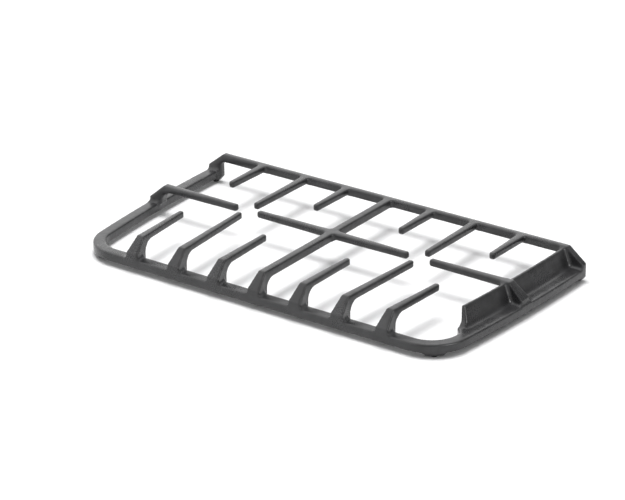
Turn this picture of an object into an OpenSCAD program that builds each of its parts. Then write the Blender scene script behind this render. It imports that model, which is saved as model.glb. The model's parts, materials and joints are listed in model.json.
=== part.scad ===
// Cast-iron pan support for two gas burners, 481 x 250 mm, on four rubber feet.
//
// The iron is one casting. It is drawn here as its members, which meet face to
// face: a low rim on three sides, a raised rail along the far side, and fingers
// that point at the two burners. X runs along the two burners, Y from the near
// rim to the far rail, and Z up from the surface that the feet stand on.

/* [Overall] */
// Length over the two ends
grate_l = 481; // [450:1:500]
// Width from the near rim to the back of the rail
grate_w = 250.4; // [242:0.1:262]
// Height of the pan-bearing plane above the surface
grate_h = 35.5; // [33:0.5:40]

/* [Rim] */
// Width of the rim, seen from above
rim_w = 13; // [11:0.5:15]
// Thickness of the rim
rim_t = 9.1; // [6:0.1:10]
// Gap between the surface and the underside of the rim
rim_gap = 5.3; // [4.5:0.1:6]
// Outer radius of the two near corners
corner_r = 43.5; // [34:0.5:50]
// Radius of the slight bow in each end of the rim
end_bow_r = 1850; // [1500:50:6000]

/* [Risers and posts] */
// How far each outer face slopes inward on its way to the top
slope_run = 16; // [12:0.5:20]
// Height of that slope
slope_drop = 15; // [12:0.5:18]
// Width of a riser where it stands on the rim
riser_base_w = 14.5; // [10:0.5:16]
// Depth of a riser, from its outer face to its inner one
riser_depth = 19.5; // [16:0.5:21]
// Radius under each finger where it leaves its riser
riser_fillet_r = 11.5; // [6:0.5:12]
// Setback of the two end arms' outer faces from the rim's edge
arm_setback = 1.8; // [0:0.1:4]
// How far those faces slope inward
arm_slope_run = 17; // [14:0.5:20]
// Radius under each end arm where it leaves its riser
arm_fillet_r = 13; // [8:0.5:14]
// Length of a corner post along the rail
post_l = 17.2; // [16:0.1:18]
// How far each corner post's outer face slopes inward
post_slope_run = 20; // [16:0.5:20]
// Height of that slope
post_slope_drop = 16; // [14:0.5:18]
// Radius under the rail where it meets each post
post_fillet_r = 6; // [5:0.5:8]

/* [Fingers] */
// Distance between the two burner axes
burner_pitch = 217; // [200:1:230]
// Distance of the outermost far fingers from the middle of the length
outer_finger_x = 165.8; // [155:0.1:172]
// Distance of the burner line from the middle of the width
burner_y = 13.8; // [5:0.1:20]
// Width of a finger at its root
finger_root_w = 9; // [6:0.1:10]
// Width of a finger at its tip
finger_tip_w = 6; // [4.5:0.1:7]
// Depth of a finger
finger_d = 6.9; // [5:0.1:8]
// Size of the bevels over and under each finger's tip
finger_nose = 1.8; // [0.5:0.1:2.2]
// Width of the bar across the middle
centre_w = 8.7; // [6:0.1:10]
// Depth of the bar across the middle
centre_d = 9; // [6:0.1:10]
// Distance from a burner axis to the long fingers' tips
tip_gap = 13.2; // [8:0.1:18]
// Distance from the burner line to the short fingers' tips
short_tip_gap = 45.7; // [36:0.1:52]
// Spacing of the near fingers' roots, against that of the far ones
near_root_fan = 0.94; // [0.9:0.01:1]
// Spacing of the near fingers' tips, against that of the far ones
near_tip_fan = 0.97; // [0.92:0.01:1]

/* [Rail] */
// Width of the rail's top
rail_w = 7.3; // [6.5:0.1:8]
// Depth of the rail
rail_d = 8.6; // [6:0.1:9]

/* [End wall] */
// Gap between the wall's top and the pan-bearing plane
wall_top_gap = 1.9; // [1.5:0.1:6]
// Setback of the wall's outer face from the rim's edge, at the foot
wall_base_setback = 14.6; // [12:0.1:16]
// Setback of the wall's outer face from the rim's edge, at the top
wall_top_setback = 22.4; // [18:0.1:24]
// Thickness of the wall at the foot
wall_base_t = 7.7; // [5:0.1:9]
// Thickness of the wall at the top
wall_top_t = 3.6; // [3:0.1:5]
// Place of the wall's near end along the width
wall_start_y = -63; // [-65:0.1:-50]
// How far the wall's near end leans back on its way up
wall_end_rake = 4; // [0:0.5:10]
// Size of the slope at the foot of the wall's near end
wall_toe = 5; // [3:0.5:6]
// How far the ledge runs on at full width past the foot of that slope
ledge_run = 0.5; // [0:0.5:3]
// Length of the slant that brings the ledge's near end back to the rim
ledge_slant = 12; // [4:0.5:14]

/* [Feet] */
// Diameter of a rubber foot's pad
pad_d = 6.4; // [5:0.1:6.5]
// Height of a rubber foot's pad
pad_h = 2; // [1.5:0.1:3]
// Diameter of the blind hole for a foot's stem
stem_hole_d = 3.6; // [3:0.1:4]
// Depth of that hole
stem_hole_depth = 6; // [5:0.5:8]
// Difference in diameter between the hole and the stem
stem_clearance = 0.2; // [0.1:0.05:0.4]
// Direction of each near foot from the centre of its corner
foot_angle = -52; // [-60:1:-45]

/* [Hidden] */

$fn = 48;
FINE = 720;
EPS = 1;
TALL = 100;
LONG = 600;
IRON = "#37373a";
RUBBER = "#161616";

half_l = grate_l / 2;
half_w = grate_w / 2;
rim_top = rim_gap + rim_t;
slope_foot = grate_h - slope_drop;
burner_x = burner_pitch / 2;

// Places of the far fingers: between the burners' axes and the middle, on them, and outside them
far_x = [burner_x / 2, burner_x, outer_finger_x];

// The corner posts are as deep as the rail
rail_front = half_w - rail_w;

// Each end of the rim is an arc, square to its post, that runs into the corner's arc
bow_x = half_l - end_bow_r;
bow_y = rail_front;
corner_y = corner_r - half_w;
corner_x = bow_x + sqrt(pow(end_bow_r - corner_r, 2) - pow(bow_y - corner_y, 2));
corner_turn = atan2(corner_y - bow_y, corner_x - bow_x);

// Outer edge of the rim's end at a place along the width
function end_edge(y) = bow_x + sqrt(pow(end_bow_r, 2) - pow(bow_y - y, 2));

// Turn about the bow's centre that reaches a place along the width
function bow_turn(y) = asin((y - bow_y) / end_bow_r);

// Near edge to bend, on the risers
bend_y = slope_run - half_w;
wall_top = grate_h - wall_top_gap;
wall_outer_turn = bow_turn(wall_start_y - wall_toe);
wall_inner_setback = wall_base_setback + wall_base_t;

// Places along the width where the ledge's slant ends and begins
ledge_y = wall_start_y - wall_toe - ledge_run;
slant_y = max(ledge_y - ledge_slant, corner_y + EPS);

// Feet
foot_z = pad_h;
foot_reach = corner_r - rim_w / 2;
boss_sweep = 26;
boss_inset = 1.5;
boss_edge = 0.2;
far_foot_x = half_l - 7.5;
far_foot_y = half_w - rail_w / 2;
post_toe_z = 8;
post_toe_run = 5;
post_heel_run = 2.5;

// ---- helpers ----

// Draws its children at the near right corner's centre
module at_corner() {
    translate([corner_x, corner_y, 0])
        children();
}

// Sweeps a section about the centre of an end's bow, up to the corner post
module sweep_end(from_turn) {
    translate([bow_x, bow_y, 0])
        rotate([0, 0, from_turn])
            rotate_extrude(angle = -from_turn, $fn = FINE)
                children();
}

// The rim's section, with its outer edge at a radius
module rim_section(radius, width) {
    translate([radius - width, rim_gap])
        square([width, rim_t]);
}

// Turns a profile drawn in Y and Z into a slab along X, centred on the middle
module slab_along_x() {
    rotate([90, 0, 90])
        linear_extrude(height = LONG, center = true)
            children();
}

// Turns a profile drawn in X and Z into a slab along Y, centred on the middle
module slab_along_y() {
    rotate([90, 0, 0])
        linear_extrude(height = LONG, center = true)
            children();
}

// Side view of a riser and its finger: out is its outer face, tip its end, and
// both are measured along the finger, which points in the positive direction.
// Past the rim's width the riser reaches down beside the rim.
module riser_profile(out, tip, depth, riser, fillet_r, run) {
    under = grate_h - depth;
    inner = out + riser;
    difference() {
        polygon([
            [out, rim_top],
            [out, slope_foot],
            [out + run, grate_h],
            [tip - finger_nose, grate_h],
            [tip, grate_h - finger_nose],
            [tip, under + finger_nose],
            [tip - finger_nose, under],
            [inner + fillet_r, under],
            [inner + fillet_r, under - fillet_r],
            [inner, under - fillet_r],
            [inner, rim_gap],
            [out + rim_w, rim_gap],
            [out + rim_w, rim_top]
        ]);
        translate([inner + fillet_r, under - fillet_r])
            circle(r = fillet_r);
    }
}

// Plan of a riser and its finger. The finger runs along Y from base_y through
// bend_at to tip_y, and its tip is shifted sideways by lean.
module riser_plan(base_y, bend_at, tip_y, lean) {
    round_y = tip_y - finger_tip_w / 2;
    base = riser_base_w / 2;
    root = finger_root_w / 2;
    tip = finger_tip_w / 2;
    polygon([
        [-base, base_y],
        [base, base_y],
        [root, bend_at],
        [lean + tip, round_y],
        [lean - tip, round_y],
        [-root, bend_at]
    ]);
    translate([lean, round_y])
        circle(r = tip);
}

// Plan of a finger that grows out of a bar at the origin and ends at reach
module finger_plan(reach) {
    root = finger_root_w / 2;
    tip = finger_tip_w / 2;
    round_y = reach - tip;
    polygon([[-root, 0], [root, 0], [tip, round_y], [-tip, round_y]]);
    translate([0, round_y])
        circle(r = tip);
}

// A level finger, hanging down from the pan-bearing plane
module level_finger(reach) {
    under = grate_h - finger_d;
    intersection() {
        linear_extrude(height = TALL)
            finger_plan(reach);
        slab_along_x()
            polygon([
                [0, grate_h],
                [reach - finger_nose, grate_h],
                [reach, grate_h - finger_nose],
                [reach, under + finger_nose],
                [reach - finger_nose, under],
                [0, under]
            ]);
    }
}

// Near finger with its riser, by its place from the middle: 0, 1 or 2
module near_finger(place) {
    on_axis = place == 1;
    root_x = far_x[place] * near_root_fan;
    lean = far_x[place] * (on_axis ? 1 : near_tip_fan) - root_x;
    gap = on_axis ? tip_gap : short_tip_gap;
    translate([root_x, 0, 0])
        intersection() {
            slab_along_x()
                riser_profile(-half_w, burner_y, finger_d, riser_depth, riser_fillet_r, slope_run);
            linear_extrude(height = TALL)
                riser_plan(-half_w, bend_y, burner_y - gap, lean);
        }
}

// Far finger, by its place from the middle: 0, 1 or 2
module far_finger(place) {
    gap = place == 1 ? tip_gap : short_tip_gap;
    translate([far_x[place], rail_front, 0])
        rotate([0, 0, 180])
            level_finger(rail_front - burner_y - gap);
}

// Finger on the burner line that grows out of the centre bar
module centre_arm() {
    translate([centre_w / 2, burner_y, 0])
        rotate([0, 0, -90])
            level_finger(burner_x - tip_gap - centre_w / 2);
}

// Finger on the burner line that comes in from the rim's end
module end_arm() {
    out = end_edge(burner_y) - arm_setback;
    tip = burner_x + tip_gap;
    intersection() {
        slab_along_y()
            mirror([1, 0])
                riser_profile(-out, -tip, finger_d, rim_w + EPS, arm_fillet_r, arm_slope_run);
        translate([0, burner_y, rim_top])
            rotate([0, 0, 90])
                linear_extrude(height = TALL)
                    riser_plan(-out, arm_slope_run - out, -tip, 0);
    }
}

// Corner post at the far right, with the hole for its foot
module post() {
    inner = half_l - post_l;
    shoulder = inner - post_fillet_r;
    under = grate_h - rail_d;
    difference() {
        intersection() {
            slab_along_y()
                difference() {
                    polygon([
                        [shoulder, grate_h],
                        [half_l - post_slope_run, grate_h],
                        [half_l, grate_h - post_slope_drop],
                        [half_l, rim_gap],
                        [half_l - post_heel_run, foot_z],
                        [inner + post_toe_run, foot_z],
                        [inner, post_toe_z],
                        [inner, under - post_fillet_r],
                        [shoulder, under - post_fillet_r]
                    ]);
                    translate([shoulder, under - post_fillet_r])
                        circle(r = post_fillet_r);
                }
            translate([0, rail_front, 0])
                cube([half_l + EPS, rail_w, TALL]);
        }
        translate([far_foot_x, far_foot_y, foot_z - EPS])
            cylinder(d = stem_hole_d, h = stem_hole_depth + EPS);
    }
}

// Near right corner of the rim, with its boss and the hole for its foot
module rim_corner() {
    inner = corner_r - rim_w;
    difference() {
        union() {
            at_corner()
                rotate([0, 0, -90])
                    rotate_extrude(angle = 90 + corner_turn, $fn = FINE / 2)
                        rim_section(corner_r, rim_w);
            at_corner()
                rotate([0, 0, foot_angle - boss_sweep / 2])
                    rotate_extrude(angle = boss_sweep, $fn = FINE / 2)
                        polygon([
                            [inner + boss_edge, rim_gap + EPS],
                            [inner + boss_inset, foot_z],
                            [corner_r - boss_inset, foot_z],
                            [corner_r - boss_edge, rim_gap + EPS]
                        ]);
        }
        at_near_foot()
            translate([0, 0, foot_z - EPS])
                cylinder(d = stem_hole_d, h = stem_hole_depth + EPS);
    }
}

// Draws its children at the near right foot
module at_near_foot() {
    at_corner()
        rotate([0, 0, foot_angle])
            translate([foot_reach, 0, 0])
                children();
}

// Rubber foot: a pad and the stem that pushes into the casting
module rubber_foot() {
    color(RUBBER) {
        cylinder(d = pad_d, h = pad_h);
        translate([0, 0, pad_h])
            cylinder(d = stem_hole_d - stem_clearance, h = stem_hole_depth - EPS);
    }
}

// The whole wall of the right end, before the end arm is taken out of it
module wall_sweep() {
    intersection() {
        sweep_end(wall_outer_turn)
            polygon([
                [end_bow_r - wall_base_setback, rim_top],
                [end_bow_r - wall_top_setback, wall_top],
                [end_bow_r - wall_top_setback - wall_top_t, wall_top],
                [end_bow_r - wall_inner_setback, rim_top]
            ]);
        slab_along_x()
            polygon([
                [wall_start_y - wall_toe, rim_top],
                [half_w, rim_top],
                [half_w, wall_top],
                [wall_start_y + wall_end_rake, wall_top],
                [wall_start_y, rim_top + wall_toe]
            ]);
    }
}

// One stretch of the wall: side is -1 near the end arm's near side, 1 past it
module wall_stretch(side) {
    reach = half_w;
    difference() {
        intersection() {
            wall_sweep();
            translate([0, burner_y + (side < 0 ? -reach : 0), 0])
                cube([half_l, reach, TALL]);
        }
        end_arm();
    }
}

// ---- rim ----

module rim_near() {
    color(IRON)
        translate([0, -half_w, rim_gap])
            translate([-corner_x, 0, 0])
                cube([2 * corner_x, rim_w, rim_t]);
}

module rim_corner_right() {
    color(IRON)
        rim_corner();
}

module rim_corner_left() {
    color(IRON)
        mirror([1, 0, 0])
            rim_corner();
}

module rim_end_left() {
    color(IRON)
        mirror([1, 0, 0])
            sweep_end(corner_turn)
                rim_section(end_bow_r, rim_w);
}

module rim_end_right() {
    color(IRON)
        sweep_end(corner_turn)
            rim_section(end_bow_r, rim_w);
}

// Ledge inside the right end of the rim, which carries the wall. Its near end slants back to the rim.
module end_wall_ledge() {
    inner = end_edge(ledge_y) - wall_inner_setback - EPS;
    color(IRON)
        intersection() {
            sweep_end(bow_turn(slant_y))
                rim_section(end_bow_r - rim_w, wall_inner_setback - rim_w);
            linear_extrude(height = TALL)
                polygon([
                    [end_edge(slant_y) - rim_w + EPS, slant_y],
                    [half_l, slant_y],
                    [half_l, half_w],
                    [inner, half_w],
                    [inner, ledge_y]
                ]);
        }
}

// ---- rail and posts ----

module rail_far() {
    length = 2 * (half_l - post_l - post_fillet_r);
    color(IRON)
        translate([-length / 2, rail_front, grate_h - rail_d])
            cube([length, rail_w, rail_d]);
}

module post_right() {
    color(IRON)
        post();
}

module post_left() {
    color(IRON)
        mirror([1, 0, 0])
            post();
}

// ---- bars and arms on the burner line ----

module centre_bar() {
    base = riser_base_w / 2;
    side = centre_w / 2;
    color(IRON)
        intersection() {
            slab_along_x()
                riser_profile(-half_w, rail_front, centre_d, riser_depth, riser_fillet_r - EPS, slope_run);
            linear_extrude(height = TALL)
                polygon([
                    [-base, -half_w],
                    [base, -half_w],
                    [side, bend_y],
                    [side, rail_front],
                    [-side, rail_front],
                    [-side, bend_y]
                ]);
        }
}

module centre_arm_right() {
    color(IRON)
        centre_arm();
}

module centre_arm_left() {
    color(IRON)
        mirror([1, 0, 0])
            centre_arm();
}

module end_arm_right() {
    color(IRON)
        end_arm();
}

module end_arm_left() {
    color(IRON)
        mirror([1, 0, 0])
            end_arm();
}

module end_wall_near() {
    color(IRON)
        wall_stretch(-1);
}

module end_wall_far() {
    color(IRON)
        wall_stretch(1);
}

// Web under the rail that joins the wall's far end to the right post
module end_wall_web() {
    foot = half_l - wall_inner_setback;
    head = half_l - wall_top_setback - wall_top_t;
    past_post = half_l - post_l + post_toe_run;
    under = grate_h - rail_d;
    color(IRON)
        difference() {
            intersection() {
                slab_along_y()
                    polygon([
                        [foot, rim_gap],
                        [past_post, rim_gap],
                        [past_post, under],
                        [head, under],
                        [foot, rim_top]
                    ]);
                translate([0, rail_front, 0])
                    cube([half_l, rail_w, TALL]);
            }
            post();
        }
}

// ---- fingers, numbered from left to right ----

module near_finger_1() {
    color(IRON)
        mirror([1, 0, 0])
            near_finger(2);
}

module near_finger_2() {
    color(IRON)
        mirror([1, 0, 0])
            near_finger(1);
}

module near_finger_3() {
    color(IRON)
        mirror([1, 0, 0])
            near_finger(0);
}

module near_finger_4() {
    color(IRON)
        near_finger(0);
}

module near_finger_5() {
    color(IRON)
        near_finger(1);
}

module near_finger_6() {
    color(IRON)
        near_finger(2);
}

module far_finger_1() {
    color(IRON)
        mirror([1, 0, 0])
            far_finger(2);
}

module far_finger_2() {
    color(IRON)
        mirror([1, 0, 0])
            far_finger(1);
}

module far_finger_3() {
    color(IRON)
        mirror([1, 0, 0])
            far_finger(0);
}

module far_finger_4() {
    color(IRON)
        far_finger(0);
}

module far_finger_5() {
    color(IRON)
        far_finger(1);
}

module far_finger_6() {
    color(IRON)
        far_finger(2);
}

// ---- feet ----

module foot_near_right() {
    at_near_foot()
        rubber_foot();
}

module foot_near_left() {
    mirror([1, 0, 0])
        at_near_foot()
            rubber_foot();
}

module foot_far_right() {
    translate([far_foot_x, far_foot_y, 0])
        rubber_foot();
}

module foot_far_left() {
    translate([-far_foot_x, far_foot_y, 0])
        rubber_foot();
}

rim_near();
rim_corner_left();
rim_corner_right();
rim_end_left();
rim_end_right();
rail_far();
post_left();
post_right();
centre_bar();
centre_arm_left();
centre_arm_right();
end_arm_left();
end_arm_right();
end_wall_ledge();
end_wall_near();
end_wall_far();
end_wall_web();
near_finger_1();
near_finger_2();
near_finger_3();
near_finger_4();
near_finger_5();
near_finger_6();
far_finger_1();
far_finger_2();
far_finger_3();
far_finger_4();
far_finger_5();
far_finger_6();
foot_near_left();
foot_near_right();
foot_far_left();
foot_far_right();
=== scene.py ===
"""Looks of a cast-iron gas hob pan support: one enamelled casting on four rubber feet.

The casting's mesh is grown out of the frame's own solids. They are closed into one
body with filleted corners and rounded edges, as a sand casting has, and the surface
then carries two masks that its material reads: edges, lightened for wear and as a
painted highlight, and filled corners, lightened as painted light.
"""

import json
import math

import bmesh
import bpy
import numpy as np
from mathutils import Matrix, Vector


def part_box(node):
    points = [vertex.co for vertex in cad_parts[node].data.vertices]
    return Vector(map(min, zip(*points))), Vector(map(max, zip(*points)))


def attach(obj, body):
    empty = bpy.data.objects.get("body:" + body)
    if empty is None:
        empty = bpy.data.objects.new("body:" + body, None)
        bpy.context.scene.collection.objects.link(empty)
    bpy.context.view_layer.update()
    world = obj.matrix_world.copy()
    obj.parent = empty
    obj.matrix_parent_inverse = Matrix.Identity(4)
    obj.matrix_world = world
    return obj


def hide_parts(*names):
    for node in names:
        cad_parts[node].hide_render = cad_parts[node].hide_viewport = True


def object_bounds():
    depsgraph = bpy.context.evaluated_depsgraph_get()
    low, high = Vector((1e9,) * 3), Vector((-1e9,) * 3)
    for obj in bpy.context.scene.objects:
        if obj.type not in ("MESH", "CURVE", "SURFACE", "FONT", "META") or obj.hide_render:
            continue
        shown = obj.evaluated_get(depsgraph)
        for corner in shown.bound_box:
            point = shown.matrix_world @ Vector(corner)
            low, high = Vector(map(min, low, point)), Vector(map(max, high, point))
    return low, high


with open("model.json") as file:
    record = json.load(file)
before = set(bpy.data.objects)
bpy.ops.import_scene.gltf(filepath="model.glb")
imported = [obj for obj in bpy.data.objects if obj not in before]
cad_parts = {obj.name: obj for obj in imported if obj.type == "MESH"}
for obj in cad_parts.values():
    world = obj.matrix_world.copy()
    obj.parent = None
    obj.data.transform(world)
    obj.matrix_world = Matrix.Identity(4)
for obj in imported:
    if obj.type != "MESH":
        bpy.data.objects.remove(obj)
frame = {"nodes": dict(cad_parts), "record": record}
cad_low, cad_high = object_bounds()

import openvdb
from mathutils import Matrix, Vector

MM = 0.001

# Camera: its angles, and its distance from the aim, which is set from the middle of the object
CAMERA_AZIMUTH = math.radians(35.495)
CAMERA_ELEVATION = math.radians(23.983)
CAMERA_ROLL = math.radians(-0.291)
CAMERA_DISTANCE = 2.976
CAMERA_LENS = 165.19
CAMERA_AIM = Vector((-0.0122, -0.0040, -0.0002))
SENSOR_WIDTH = 36
CLIP_END = 50

# Floor
FLOOR_SIZE = 12
FLOOR_COLOUR = (0.86, 0.86, 0.865, 1)
FLOOR_ROUGHNESS = 0.9
FLOOR_SHINE = 0.1

# Casting, in millimetres: voxels, fillets in its corners, rounds on its edges, and enamel
VOXEL = 0.5
FILLET = 3.6
ROUND = 1.1
COAT = 0.2
# Voxels kept past each depth, and how far flat stretches may be merged into larger faces
SPARE_VOXELS = 3
ADAPTIVITY = 0.07
# Depth of a fillet or a round of radius 1 at the middle of a right-angled corner
CORNER_DEPTH = math.sqrt(2) - 1

# Surroundings: their strength in the gloss, from left to right, where that changes along X,
# and their strength on lit surfaces
GLOSSY_LEFT = 1.65
GLOSSY_RIGHT = 0.35
GLOSSY_CHANGE = (-0.35, 0.25)
DIFFUSE_SURROUNDINGS = 0.56

# Lamps: name, place, size and watts
DIFFUSE_LAMPS = [
    ("key", (-0.22, 0.12, 2.2), 1.1, 48),
]
GLOSSY_LAMPS = [
    ("right_card", (1.36, -0.22, 0.7), 0.6, 11),
]

# Outline of a rubber foot, in millimetres: radius and height above the surface
FOOT_OUTLINE = [
    (0, 0.3), (1.5, 0.3), (1.75, 0.12), (2.0, 0), (2.6, 0), (2.9, 0.08), (3.1, 0.3), (3.2, 0.65),
    (3.2, 1.2), (3.1, 1.55), (2.85, 1.8), (2.55, 1.9), (2.5, 2.0), (1.7, 2.0), (1.7, 6.7),
    (1.5, 7.0), (0, 7.0),
]
FOOT_TURNS = 48


# ---- camera, floor and light ----

def add_camera():
    """The camera, turned about its own line of sight by CAMERA_ROLL."""
    th, ph = CAMERA_AZIMUTH, CAMERA_ELEVATION
    ahead = Vector((-math.sin(th) * math.cos(ph), math.cos(th) * math.cos(ph), -math.sin(ph)))
    level = Vector((math.cos(th), math.sin(th), 0))
    above = level.cross(ahead)
    right = math.cos(CAMERA_ROLL) * level + math.sin(CAMERA_ROLL) * above
    up = math.cos(CAMERA_ROLL) * above - math.sin(CAMERA_ROLL) * level
    data = bpy.data.cameras.new("camera")
    data.lens = CAMERA_LENS
    data.sensor_width = SENSOR_WIDTH
    data.clip_end = CLIP_END
    camera = bpy.data.objects.new("camera", data)
    bpy.context.scene.collection.objects.link(camera)
    place = (cad_low + cad_high) / 2 + CAMERA_AIM - ahead * CAMERA_DISTANCE
    turn = Matrix((right, up, -ahead)).transposed().to_4x4()
    camera.matrix_world = Matrix.Translation(place) @ turn
    bpy.context.scene.camera = camera


def add_floor():
    """A wide pale floor at the height that the feet stand on."""
    bpy.ops.mesh.primitive_plane_add(size=FLOOR_SIZE, location=(0, 0, cad_low.z))
    floor = bpy.context.object
    floor.name = "floor"
    material = bpy.data.materials.new("floor_white")
    material.use_nodes = True
    shader = material.node_tree.nodes["Principled BSDF"]
    shader.inputs["Base Color"].default_value = FLOOR_COLOUR
    shader.inputs["Roughness"].default_value = FLOOR_ROUGHNESS
    shader.inputs["Specular IOR Level"].default_value = FLOOR_SHINE
    floor.data.materials.append(material)


def add_lamp(name, place, size, watts):
    """A square soft lamp that faces the middle of the object."""
    data = bpy.data.lights.new(name, "AREA")
    data.shape = "SQUARE"
    data.size = size
    data.energy = watts
    lamp = bpy.data.objects.new(name, data)
    lamp.location = place
    lamp.rotation_mode = "QUATERNION"
    lamp.rotation_quaternion = (-Vector(place)).to_track_quat("-Z", "Y")
    bpy.context.scene.collection.objects.link(lamp)
    return lamp


def add_light():
    """A soft lamp and grey surroundings light the surfaces. The gloss shows brighter
    surroundings on the left than on the right, and a card on the right."""
    world = bpy.data.worlds.new("room")
    world.use_nodes = True
    background = world.node_tree.nodes["Background"]
    background.inputs["Color"].default_value = (1, 1, 1, 1)
    nodes, links = world.node_tree.nodes, world.node_tree.links
    way = nodes.new("ShaderNodeTexCoord").outputs["Generated"]
    across = nodes.new("ShaderNodeSeparateXYZ")
    links.new(way, across.inputs["Vector"])
    glossy = nodes.new("ShaderNodeMapRange")
    glossy.interpolation_type = "SMOOTHSTEP"
    links.new(across.outputs["X"], glossy.inputs["Value"])
    for name, number in zip(("From Min", "From Max"), GLOSSY_CHANGE):
        glossy.inputs[name].default_value = number
    glossy.inputs["To Min"].default_value = GLOSSY_LEFT
    glossy.inputs["To Max"].default_value = GLOSSY_RIGHT
    strength = nodes.new("ShaderNodeMapRange")
    links.new(nodes.new("ShaderNodeLightPath").outputs["Is Diffuse Ray"], strength.inputs["Value"])
    links.new(glossy.outputs["Result"], strength.inputs["To Min"])
    strength.inputs["To Max"].default_value = DIFFUSE_SURROUNDINGS
    links.new(strength.outputs["Result"], background.inputs["Strength"])
    bpy.context.scene.world = world
    for lamp in DIFFUSE_LAMPS:
        add_lamp(*lamp).visible_glossy = False
    for lamp in GLOSSY_LAMPS:
        add_lamp(*lamp).visible_diffuse = False
    bpy.context.scene.view_settings.view_transform = "Standard"


# ---- casting ----

def casting_nodes():
    """The CAD nodes that together are the casting."""
    return [s["node"] for s in frame["record"]["subparts"] if s["material_slot"] == "casting"]


def solid_triangles(names):
    """Points, in millimetres, and triangles of several CAD nodes as one soup."""
    points, triangles, first = [], [], 0
    for name in names:
        mesh = frame["nodes"][name].data
        mesh.calc_loop_triangles()
        co = np.empty(len(mesh.vertices) * 3, np.float32)
        mesh.vertices.foreach_get("co", co)
        corners = np.empty(len(mesh.loop_triangles) * 3, np.int32)
        mesh.loop_triangles.foreach_get("vertices", corners)
        points.append(co.reshape(-1, 3) / MM)
        triangles.append(corners.reshape(-1, 3) + first)
        first += len(mesh.vertices)
    return np.concatenate(points).astype(np.float32), np.concatenate(triangles).astype(np.uint32)


def level_set(surface, outside, inside):
    """Distances, in millimetres, from a closed surface, to a given depth on either side."""
    points, triangles, quads = surface
    return openvdb.FloatGrid.createLevelSetFromPolygons(
        points,
        triangles=triangles if len(triangles) else None,
        quads=quads if len(quads) else None,
        transform=openvdb.createLinearTransform(VOXEL),
        exBandWidth=outside / VOXEL + SPARE_VOXELS,
        inBandWidth=inside / VOXEL + SPARE_VOXELS,
    )


def sample(grid, points):
    """A level set's values at points, between its voxels."""
    low = np.floor(points.min(0) / VOXEL).astype(int) - SPARE_VOXELS
    high = np.ceil(points.max(0) / VOXEL).astype(int) + SPARE_VOXELS
    values = np.empty(high - low, np.float32)
    grid.copyToArray(values, tuple(int(i) for i in low))
    place = points / VOXEL - low
    cell = np.floor(place).astype(int)
    part = place - cell
    total = np.zeros(len(points))
    for corner in np.ndindex(2, 2, 2):
        weight = np.prod(np.where(corner, part, 1 - part), axis=1)
        total += weight * values[tuple((cell + corner).T)]
    return total


def add_mask(mesh, name, values):
    """Stores one number from 0 to 1 at each point of a mesh."""
    mask = mesh.attributes.new(name, "FLOAT", "POINT")
    mask.data.foreach_set("value", np.clip(values, 0, 1).astype(np.float32))


def cast_mesh():
    """The casting as one mesh. Growing the solids and shrinking them back leaves fillets
    in the corners; shrinking further and growing back rounds the edges, and the last of
    the growth is the enamel's own thickness."""
    points, triangles = solid_triangles(casting_nodes())
    bare = level_set((points, triangles, ()), FILLET, FILLET)
    grown = level_set(bare.convertToPolygons(isovalue=FILLET), 0, FILLET + ROUND)
    shrunk = level_set(grown.convertToPolygons(isovalue=-FILLET - ROUND), ROUND, 0)
    points, triangles, quads = shrunk.convertToPolygons(isovalue=ROUND + COAT, adaptivity=ADAPTIVITY)
    mesh = bpy.data.meshes.new("casting")
    faces = [tuple(f) for f in triangles.tolist()] + [tuple(f) for f in quads.tolist()]
    mesh.from_pydata((points * MM).tolist(), [], faces)
    mesh.update()
    cut_away = -FILLET - sample(grown, points)
    filled_in = sample(bare, points)
    add_mask(mesh, "worn_and_highlit_edge", cut_away / (ROUND * CORNER_DEPTH))
    # Mask of the filled corners, where the material paints light over their shade
    add_mask(mesh, "corner_painted_light", filled_in / (FILLET * CORNER_DEPTH))
    return mesh


def add_casting(material):
    """The casting, in place of all its CAD members."""
    mesh = cast_mesh()
    mesh.materials.append(material)
    mesh.shade_smooth()
    casting = bpy.data.objects.new("casting", mesh)
    bpy.context.scene.collection.objects.link(casting)
    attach(casting, "root")
    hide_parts(*casting_nodes())


# ---- rubber feet ----

def foot_mesh(name, middle):
    """A turned pad with a hollowed underside and the stem above it."""
    mesh = bmesh.new()
    rings = []
    for radius, height in FOOT_OUTLINE:
        count = FOOT_TURNS if radius else 1
        rings.append([
            mesh.verts.new((
                middle.x + radius * MM * math.cos(math.tau * i / count),
                middle.y + radius * MM * math.sin(math.tau * i / count),
                cad_low.z + height * MM,
            ))
            for i in range(count)
        ])
    for below, above in zip(rings, rings[1:]):
        for i in range(FOOT_TURNS):
            corners = [below[i % len(below)], below[(i + 1) % len(below)]]
            corners += [above[(i + 1) % len(above)], above[i % len(above)]]
            mesh.faces.new(list(dict.fromkeys(corners)))
    data = bpy.data.meshes.new(name)
    mesh.to_mesh(data)
    mesh.free()
    return data


def add_feet(material):
    """One turned rubber foot in place of each of the CAD feet."""
    for node in [s["node"] for s in frame["record"]["subparts"] if s["material_slot"] == "foot_rubber"]:
        low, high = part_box(node)
        mesh = foot_mesh(node + "_pad", (Vector(low) + Vector(high)) / 2)
        mesh.materials.append(material)
        mesh.shade_smooth()
        foot = bpy.data.objects.new(node + "_pad", mesh)
        bpy.context.scene.collection.objects.link(foot)
        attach(foot, "root")
        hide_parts(node)


# ---- materials ----

def slot_colour(slot):
    """A material slot's base colour in the record."""
    found = [m for m in frame["record"]["materials"] if m["slot"] == slot]
    return Vector((*found[0]["base_color"], 1))


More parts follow.
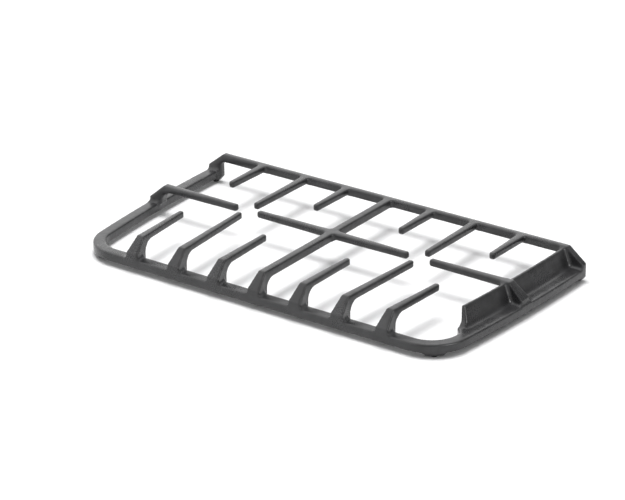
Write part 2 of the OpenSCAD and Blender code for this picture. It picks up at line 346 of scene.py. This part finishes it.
class Nodes:
    """A new material's node tree, with short ways to add to it."""

    def __init__(self, name):
        self.material = bpy.data.materials.new(name)
        self.material.use_nodes = True
        self.tree = self.material.node_tree
        self.shader = self.tree.nodes["Principled BSDF"]
        self.place = self.tree.nodes.new("ShaderNodeTexCoord").outputs["Object"]

    def link(self, source, target):
        """Joins an output to an input, or sets the input to a number or colour."""
        if isinstance(source, bpy.types.NodeSocket):
            self.tree.links.new(source, target)
        else:
            target.default_value = source

    def noise(self, size, detail=3, roughness=0.5):
        """Noise from 0 to 1, with blotches of a size in millimetres."""
        node = self.tree.nodes.new("ShaderNodeTexNoise")
        self.link(self.place, node.inputs["Vector"])
        self.link(1 / (size * MM), node.inputs["Scale"])
        self.link(detail, node.inputs["Detail"])
        self.link(roughness, node.inputs["Roughness"])
        return node.outputs["Fac"]

    def ramp(self, value, low, high, to_low=0.0, to_high=1.0):
        """A value between two limits, spread smoothly over two others."""
        node = self.tree.nodes.new("ShaderNodeMapRange")
        node.interpolation_type = "SMOOTHSTEP"
        for number, socket in zip((value, low, high, to_low, to_high), node.inputs):
            self.link(number, socket)
        return node.outputs["Result"]

    def math(self, operation, a, b):
        """The result of an operation on two numbers."""
        node = self.tree.nodes.new("ShaderNodeMath")
        node.operation = operation
        self.link(a, node.inputs[0])
        self.link(b, node.inputs[1])
        return node.outputs["Value"]

    def blend(self, share, a, b):
        """Colour a, with a share of colour b over it. A Mix node's colours are its inputs
        6 and 7 and its output 2."""
        node = self.tree.nodes.new("ShaderNodeMix")
        node.data_type = "RGBA"
        self.link(share, node.inputs["Factor"])
        self.link(a, node.inputs[6])
        self.link(b, node.inputs[7])
        return node.outputs[2]

    def mask(self, name):
        """A number that the mesh stores at its points."""
        node = self.tree.nodes.new("ShaderNodeAttribute")
        node.attribute_name = name
        return node.outputs["Fac"]

    def bump(self, height, depth, strength, under=None):
        """Relief of a depth in millimetres, over another relief."""
        node = self.tree.nodes.new("ShaderNodeBump")
        self.link(strength, node.inputs["Strength"])
        self.link(depth * MM, node.inputs["Distance"])
        self.link(height, node.inputs["Height"])
        if under:
            self.link(under, node.inputs["Normal"])
        return node.outputs["Normal"]

    def finish(self, colour, roughness, normal):
        """Joins the colour, the roughness and the relief to the shader."""
        self.link(colour, self.shader.inputs["Base Color"])
        self.link(roughness, self.shader.inputs["Roughness"])
        self.link(normal, self.shader.inputs["Normal"])
        return self.material


def shade(colour, times):
    """A colour made lighter or darker."""
    return (*(colour[i] * times for i in range(3)), 1)


def enamel():
    """Black enamel over sand-cast iron: blotchy, lighter at the edges for wear and as a painted
    highlight, with painted light in the filled corners.
    """
    nodes = Nodes("black_enamel")
    base = slot_colour("casting")
    blotches = nodes.noise(14, 3)
    cloud = nodes.noise(60, 2)
    grain = nodes.noise(1.1, 4, 0.6)
    swell = nodes.noise(7, 2)
    # Edge mask: partly rubbed wear, partly a painted highlight on the rounded edges
    wear_and_highlight = nodes.ramp(nodes.mask("worn_and_highlit_edge"), 0.35, 1.0)
    rubbed_and_highlit = nodes.math("MULTIPLY", wear_and_highlight, nodes.ramp(nodes.noise(5, 4, 0.7), 0.32, 0.6, 0.3))
    # Painted light: the filled corners are lightened against the shade that falls in them
    painted_corner_light = nodes.ramp(nodes.mask("corner_painted_light"), 0.1, 0.9)
    colour = nodes.blend(nodes.ramp(blotches, 0.35, 0.7), shade(base, 0.8), shade(base, 1.35))
    # Edges lightened towards a light grey: rubbed wear and a painted highlight together
    colour = nodes.blend(rubbed_and_highlit, colour, shade(base, 3.2))
    # Filled corners lightened: painted light, not a colour of the enamel
    colour = nodes.blend(painted_corner_light, colour, shade(base, 1.6))
    gloss = nodes.ramp(cloud, 0.3, 0.7, 0.23, 0.32)
    gloss = nodes.math("ADD", gloss, nodes.ramp(grain, 0.3, 0.75, 0, 0.06))
    gloss = nodes.math("SUBTRACT", gloss, nodes.math("MULTIPLY", rubbed_and_highlit, 0.06))
    relief = nodes.bump(swell, 0.5, 0.6)
    relief = nodes.bump(grain, 0.08, 0.7, relief)
    return nodes.finish(colour, gloss, relief)


def rubber():
    """Soft black rubber with moulding marks and a little dust."""
    nodes = Nodes("black_rubber")
    base = slot_colour("foot_rubber")
    dust = nodes.ramp(nodes.noise(1.6, 4, 0.65), 0.5, 0.75, 0, 0.5)
    colour = nodes.blend(dust, shade(base, 0.9), shade(base, 2.4))
    dullness = nodes.ramp(nodes.noise(2.5, 2), 0.3, 0.7, 0.62, 0.82)
    relief = nodes.bump(nodes.noise(0.35, 3), 0.05, 0.5)
    return nodes.finish(colour, dullness, relief)


add_camera()
add_floor()
add_light()
add_casting(enamel())
add_feet(rubber())
